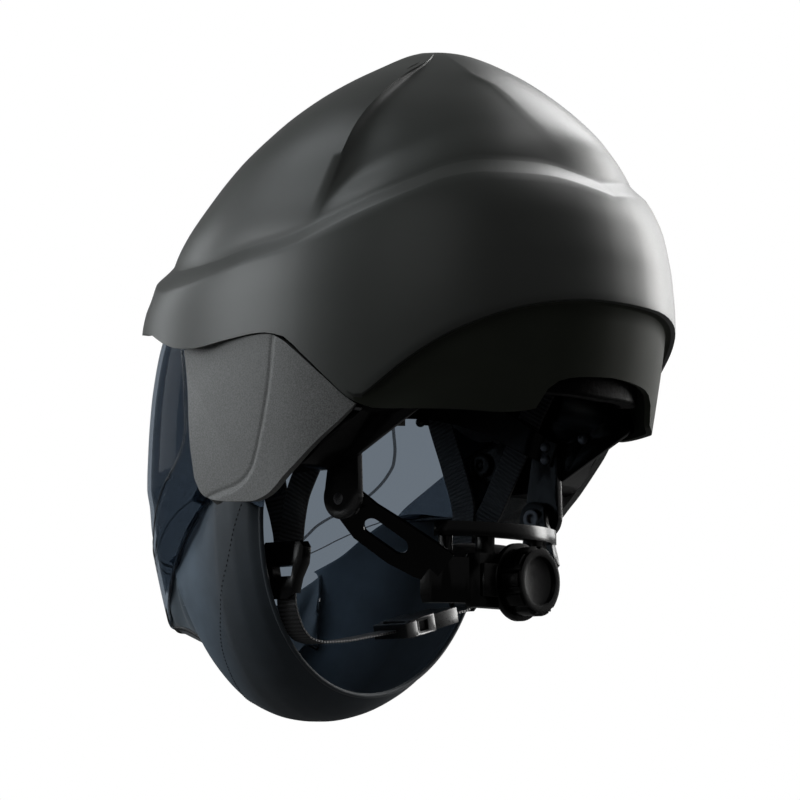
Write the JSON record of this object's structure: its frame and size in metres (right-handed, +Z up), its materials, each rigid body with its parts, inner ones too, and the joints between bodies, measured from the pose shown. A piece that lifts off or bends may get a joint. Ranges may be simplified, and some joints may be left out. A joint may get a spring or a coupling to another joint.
{
  "type": "arc flash helmet",
  "caption": "Full-brim protective helmet with grey side plates, a swinging tinted face shield with a fabric chin bib, and a head band harness with a nape fit knob",
  "frame": {"origin": "The head seat: on the middle plane, at the shell's centre and at the level of the lower edge of its sides", "axes": "-Y is the front, +X the wearer's left, +Z up"},
  "size_m": [0.226, 0.2931, 0.337],
  "materials": {
    "shell_plastic": "matt moulded shell",
    "liner_foam": "matt black foam",
    "black_plastic": "satin black plastic",
    "plate_plastic": "matt textured grey plastic",
    "visor_plastic": "clear tinted sheet",
    "bib_clamp_plastic": "black edge strip",
    "bib_fabric": "slate blue laminate",
    "binding_tape": "woven edge tape",
    "pad_fabric": "pale soft cover",
    "nape_foam": "soft black pad",
    "dark_metal": "blackened steel",
    "gear_plastic": "natural white plastic",
    "webbing": "ribbed black webbing",
    "buckle_plastic": "glossy charcoal plastic"
  },
  "bodies": {
    "helmet": {"outer_shell": "shell_plastic", "inner_liner": "liner_foam", "liner_clips": "black_plastic", "left_housing": "black_plastic", "right_housing": "black_plastic", "left_side_plate": "plate_plastic", "right_side_plate": "plate_plastic", "plate_screws": "dark_metal", "left_pivot_pin": "dark_metal", "right_pivot_pin": "dark_metal", "headband": "black_plastic", "band_hooks": "black_plastic", "brow_pad": "pad_fabric", "brow_snaps": "black_plastic", "left_hanger": "black_plastic", "right_hanger": "black_plastic", "hanger_rivets": "dark_metal", "left_tilt_screw": "dark_metal", "right_tilt_screw": "dark_metal", "left_front_strap": "webbing", "left_rear_strap": "webbing", "right_front_strap": "webbing", "right_rear_strap": "webbing", "left_slider": "black_plastic", "right_slider": "black_plastic", "left_chin_strap": "webbing", "right_chin_strap": "webbing", "buckle_socket": "buckle_plastic"},
    "face_shield": {"visor": "visor_plastic", "bib_clamp": "bib_clamp_plastic", "bib_body": "bib_fabric", "chin_panel": "bib_fabric", "neck_binding": "binding_tape"},
    "nape_cradle": {"left_nape_arm": "black_plastic", "right_nape_arm": "black_plastic", "nape_carrier": "black_plastic", "nape_cover": "black_plastic", "nape_pad": "nape_foam"},
    "fit_dial": {"fit_knob": "black_plastic", "pinion": "gear_plastic"},
    "upper_rack": {"left_rack": "gear_plastic"},
    "lower_rack": {"right_rack": "gear_plastic"},
    "strap_plug": {"buckle_plug": "black_plastic"}
  },
  "joints": [
    {"name": "visor_swing", "type": "hinge", "parent": "helmet", "child": "face_shield", "pos_m": [0, -0.018, -0.016], "axis": [-1, 0, 0], "range_deg": [0, 44]},
    {"name": "nape_tilt", "type": "hinge", "parent": "helmet", "child": "nape_cradle", "pos_m": [0, 0.022, -0.047], "axis": [1, 0, 0], "range_deg": [-8, 8]},
    {"name": "dial_turn", "type": "hinge", "parent": "nape_cradle", "child": "fit_dial", "pos_m": [0, 0.07, -0.085], "axis": [0, 1, 0], "range_deg": [-60, 60]},
    {"name": "upper_rack_slide", "type": "slide", "parent": "nape_cradle", "child": "upper_rack", "axis": [1, 0, 0], "range_m": [-0.008, 0.008]},
    {"name": "lower_rack_slide", "type": "slide", "parent": "nape_cradle", "child": "lower_rack", "axis": [-1, 0, 0], "range_m": [-0.008, 0.008]},
    {"name": "buckle_pull", "type": "slide", "parent": "helmet", "child": "strap_plug", "axis": [-0.9726, 0, 0.2326], "range_m": [0, 0.013]}
  ],
  "couplings": [
    {"joint": "upper_rack_slide", "follows": "dial_turn", "m_per_rad": 0.0075},
    {"joint": "lower_rack_slide", "follows": "dial_turn", "m_per_rad": 0.0075}
  ]
}
